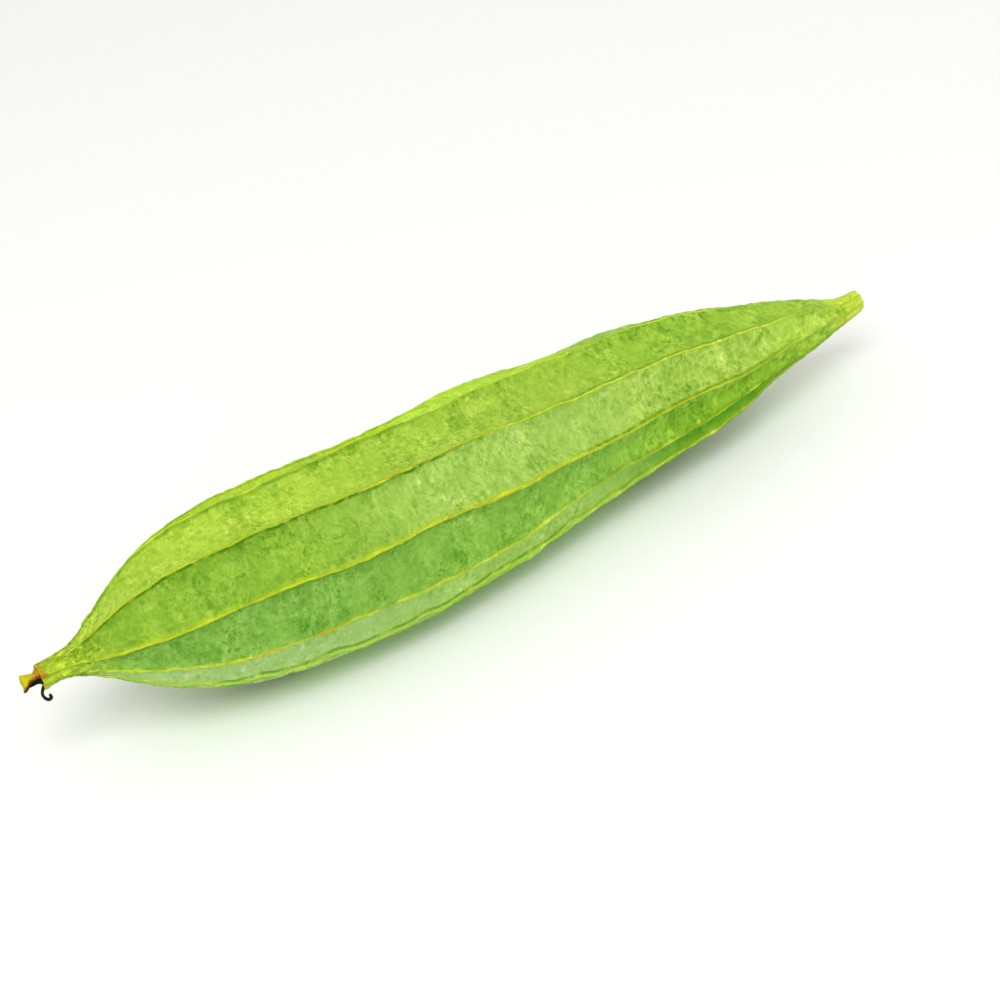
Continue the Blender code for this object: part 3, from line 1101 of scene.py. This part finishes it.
# %% [markdown]
# The rim where the flower sat has withered to brown in streaks, and the cut of the stalk shows pale pith.
# The relief adds up heights in millimetres: a pebbled skin that grows rougher towards the stalk, the tone,
# the pale strokes, the cords and the sunk lines. The wax is smoother where the skin is pale, so the
# roughness follows the tone. Its gloss is low, because the bloom on a fresh gourd scatters it.

# %% Finish the rind
RIM = (5, 9.5, 0.72, 0.2)  # start and end station, and how much of the noise is brown at each
TEAR = 1.2
WITHERED = [(0.34, "A8700C"), (0.46, "BE9C14"), (0.58, "C8C81C")]
PITH = (277.9, 278.4, 0, 0.85)
PEBBLE = 3
ROUGHER = (90, 200, 0.2, 0.7)  # start and end station, and the height of the pebbles at each
TONE_HEIGHT = 0.5
STROKE_HEIGHT = 0.1
CORD_HEIGHT = 0.25
LINE_DEPTH = 0.15
WAX = (0.2, 0.8, 0.6, 0.44)  # from deep to pale, and the roughness there


def finish_rind(piece, name, first, last):
    """Puts the rind between two stations, which fill the whole of U, on a piece."""
    material, add = new_material(name)
    ways = crest_ways(add, rind_ways(add, first, last))
    skin, tone, strokes = mottle(add, ways, panel_greens(add, ways))
    skin, cord = lay_cord(add, ways, lay_band(add, ways, skin))
    skin, dark = lay_painted_shade_lines(add, ways, lay_fibre(add, ways, skin))
    torn = add("TexNoise", ways["along"], 1 / TEAR, 2.0, named={"Distortion": 1.0})
    rim = add("MapRange", ways["station"], *RIM)
    rim = add("Math SUBTRACT", rim, torn)
    rim = add("MapRange SMOOTHSTEP", rim, 0.0, 0.25, 0.0, 0.8)
    pith = add("MapRange", ways["station"], *PITH)
    for share, colour in ((rim, add("ValToRGB", torn, stops=WITHERED)), (pith, "D6E0A4")):
        skin = add("Mix RGBA", share, skin, colour)

    pebble = add("TexNoise", ways["across"], 1 / PEBBLE, 1.0)
    rougher = add("MapRange", ways["station"], *ROUGHER)
    relief = add("Math MULTIPLY", pebble, rougher)
    heights = ((TONE_HEIGHT, tone), (STROKE_HEIGHT, strokes), (CORD_HEIGHT, cord), (-LINE_DEPTH, dark))
    for height, source in heights:
        relief = add("Math MULTIPLY_ADD", source, height, relief)
    bump = add("Bump", named={"Height": relief, "Distance": MM, "Strength": 0.8})
    wax = add("MapRange", tone, *WAX)
    waxy = {"Base Color": skin, "Roughness": wax, "Normal": bump, "Specular IOR Level": 0.15}
    put_on(piece, material, add("BsdfPrincipled", named=waxy))


finish_rind(fruit, "waxy_gourd_rind", 0, LENGTH)
finish_rind(stalk, "green_stalk_skin", STALK_U_START, LENGTH)

# %% [markdown]
# ## Withered flower
# What is left of the flower is a short stub in the neck's pit: a dry yellow tube with an open end, torn to
# a point on its lower side, which has sunk in and lies in shade. The tube is a circle extruded ring by ring
# and back into itself, its point is drawn out, and the sunken side is a patch of faces inset and pushed in.

# %% Model the flower stub
STUB_SIDES = 24
# Each is a station, a radius and a rise from the gourd's middle, in millimetres: outside, then inside.
STUB = [(7, 2.6, -0.3), (5.5, 2.8, -0.2), (4.9, 2.3, -0.4), (4.2, 1.85, -0.55), (3.4, 1.8, -0.55)]
STUB += [(2.4, 1.95, -0.45), (1.4, 2.15, -0.35), (0.7, 2.25, -0.3), (0.35, 2.15, -0.3)]
STUB += [(0.5, 1.7, -0.3), (1.4, 1.35, -0.3), (2.6, 1, -0.3)]
TOOTH = Vector((-0.5, -0.1, -0.55)) * MM
TOOTH_END = (0.9 - LENGTH / 2) * MM  # the point is drawn out of what lies nearer the tube's end than this
TOOTH_LABELS = (4, 5, 6)  # the points on its lower side

station, radius, rise = STUB[0]
start = centre(station, rise)
stub = start_ring("flower_stub", start, radius * MM, STUB_SIDES)
bpy.ops.mesh.edge_face_add()
for (_, last_radius, _), (station, radius, rise) in zip(STUB, STUB[1:]):
    middle = centre(station, rise)
    extrude(middle - start)
    stretch(radius / last_radius, middle)
    start = middle
choose(lambda place, station, label: place.x < TOOTH_END and label in TOOTH_LABELS)
bpy.ops.transform.translate(value=TOOTH)
bpy.ops.mesh.select_all(action="SELECT")
bpy.ops.mesh.normals_make_consistent(inside=False)
print("stub cage:", len(edit_mesh().faces), "faces")

# %% Sink the lower side
SUNKEN_SIDE = Vector((0, -0.62, -0.78))
SUNK_START, SUNK_END = 1.5, 5.2  # stations
SUNK_FACING = 0.5  # how squarely a sunken face looks to the sunken side
SUNK_MARGIN = 0.25
SUNK_DEPTH = 0.3

bpy.ops.mesh.select_all(action="DESELECT")
bpy.ops.mesh.select_mode(type="FACE")
mesh = edit_mesh()
for face in mesh.faces:
    at = face.calc_center_median().x / MM + LENGTH / 2
    face.select_set(SUNK_START < at < SUNK_END and face.normal.dot(SUNKEN_SIDE) > SUNK_FACING)
bmesh.update_edit_mesh(stub.data)
bpy.ops.mesh.inset(thickness=SUNK_MARGIN * MM)
bpy.ops.transform.translate(value=-SUNKEN_SIDE * SUNK_DEPTH * MM)
bpy.ops.mesh.select_mode(type="VERT")
bpy.ops.object.mode_set(mode="OBJECT")
apply_modifier(stub, "SUBSURF", levels=SUBDIVISIONS, render_levels=SUBDIVISIONS)
displace(stub, "withering", 1.1, 0.5)
bpy.ops.object.shade_smooth()
print("flower stub:", len(stub.data.polygons), "faces")

# %% [markdown]
# Withered petals and sepals dry to a thin tan tissue, still yellow at the end and brown towards the neck,
# matt and blotched. The sunken side is painted in shade, brown at its edge and black inside, but the very
# end is spared: how far a point lies towards that side, with noise added so that the edge is ragged, gives
# how deep the painted shade is.

# %% Finish the flower stub
BLOTCH = 1.2 * MM
AGE_COLOURS = [(0.35, "8A5006"), (0.5, "B07C10"), (0.66, "BCA810"), (0.85, "C4BE18")]
AGED = (-139.5 * MM, -134.5 * MM, 0.7, 0.2)  # from the end to the neck, and how yellow it is there
SPARED = (-139.8 * MM, -137.4 * MM, -1.8, 0)  # the same, and how much less painted shade there is there
PAINTED_SHADE_COLOURS = ((0.1, 0.9, "7A3C04"), (0.9, 1.5, "080A05"))  # how deep the painted shade starts and ends, and colour

withered, add = new_material("withered_flower_tissue")
place = add("TexCoord").outputs["Object"]
blotch = add("TexNoise", place, 1 / BLOTCH, 2.0)
along = add("SeparateXYZ", place)
aged = add("MapRange", along, *AGED)
aged = add("Math MULTIPLY_ADD", blotch, 0.5, aged)
tissue = add("ValToRGB", aged, stops=AGE_COLOURS)
from_middle = add("VectorMath SUBTRACT", place, centre(3, -0.4))
lower = add("VectorMath DOT_PRODUCT", from_middle, SUNKEN_SIDE / MM)
# Painted shade: the stub is painted brown, then black, towards its sunken lower side.
painted_shade = add("Math MULTIPLY_ADD", blotch, 1.5, lower.outputs["Value"])
spared = add("MapRange", along, *SPARED)
painted_shade = add("Math ADD", painted_shade, spared)
for browner, blacker, colour in PAINTED_SHADE_COLOURS:
    shade_share = add("MapRange SMOOTHSTEP", painted_shade, browner, blacker)
    tissue = add("Mix RGBA", shade_share, tissue, colour)
relief = add("Bump", named={"Height": blotch, "Distance": 0.4 * MM, "Strength": 0.7})
dry = {"Base Color": tissue, "Roughness": 0.8, "Normal": relief, "Specular IOR Level": 0.15}
put_on(stub, withered, add("BsdfPrincipled", named=dry))

# %% [markdown]
# ## Dried style
# The flower's style has dried to a black thread that hangs from the rim of the neck and curls up at its
# end. It is a curve with a round bevel that thins and swells a little along it, made into a mesh.

# %% Draw the dried thread
# Each is a station, a rise from the gourd's middle and half the thread's thickness, in millimetres.
THREAD = [(5.9, -3.6, 0.6), (5.2, -4.5, 0.5), (4.7, -5.4, 0.42), (4.5, -6.4, 0.42), (4.8, -7.6, 0.45)]
THREAD += [(5.5, -8.6, 0.5), (6.3, -8.7, 0.52), (6.7, -8, 0.52), (6.4, -7.2, 0.4)]

start_fresh()
bpy.ops.curve.primitive_bezier_curve_add()
thread = bpy.context.object
thread.name = "dried_thread"
curve = thread.data
curve.splines.clear()
spline = curve.splines.new("POLY")
spline.points.add(len(THREAD) - 1)
for point, (station, rise, half) in zip(spline.points, THREAD):
    point.co = (*centre(station, rise), 1)
    point.radius = half
spline.type = "NURBS"
spline.use_endpoint_u = True
spline.order_u = 4
curve.bevel_depth = 1 * MM
curve.bevel_resolution = 3
curve.use_fill_caps = True
bpy.ops.object.convert(target="MESH")
bpy.ops.object.transform_apply(location=True, rotation=True, scale=True)
bpy.ops.object.shade_smooth()
print("thread:", len(thread.data.polygons), "faces")

# %% [markdown]
# Dried to a hair, the style is nearly black with a trace of green, and almost without gloss.

# %% Finish the thread
dried, add = new_material("dried_black_fibre")
place = add("TexCoord").outputs["Object"]
blotch = add("TexNoise", place, 1 / MM, 2.0)
black = add("ValToRGB", blotch, stops=[(0.35, "0C0E06"), (0.65, "22280E")])
dull = {"Base Color": black, "Roughness": 0.7, "Specular IOR Level": 0.2}
put_on(thread, dried, add("BsdfPrincipled", named=dull))

# %% [markdown]
# ## Joining the measured model
# Each new piece stands for one measured solid and rides on the gourd's one body.

# %% Tie the pieces to the solids
for piece, solid, slot in (
    (fruit, "fruit", "skin"),
    (stalk, "cut_stalk", "stalk"),
    (stub, "flower_remnant", "remnant"),
    (thread, "dried_style", "style"),
):
    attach(piece, "root")
    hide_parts(solid)
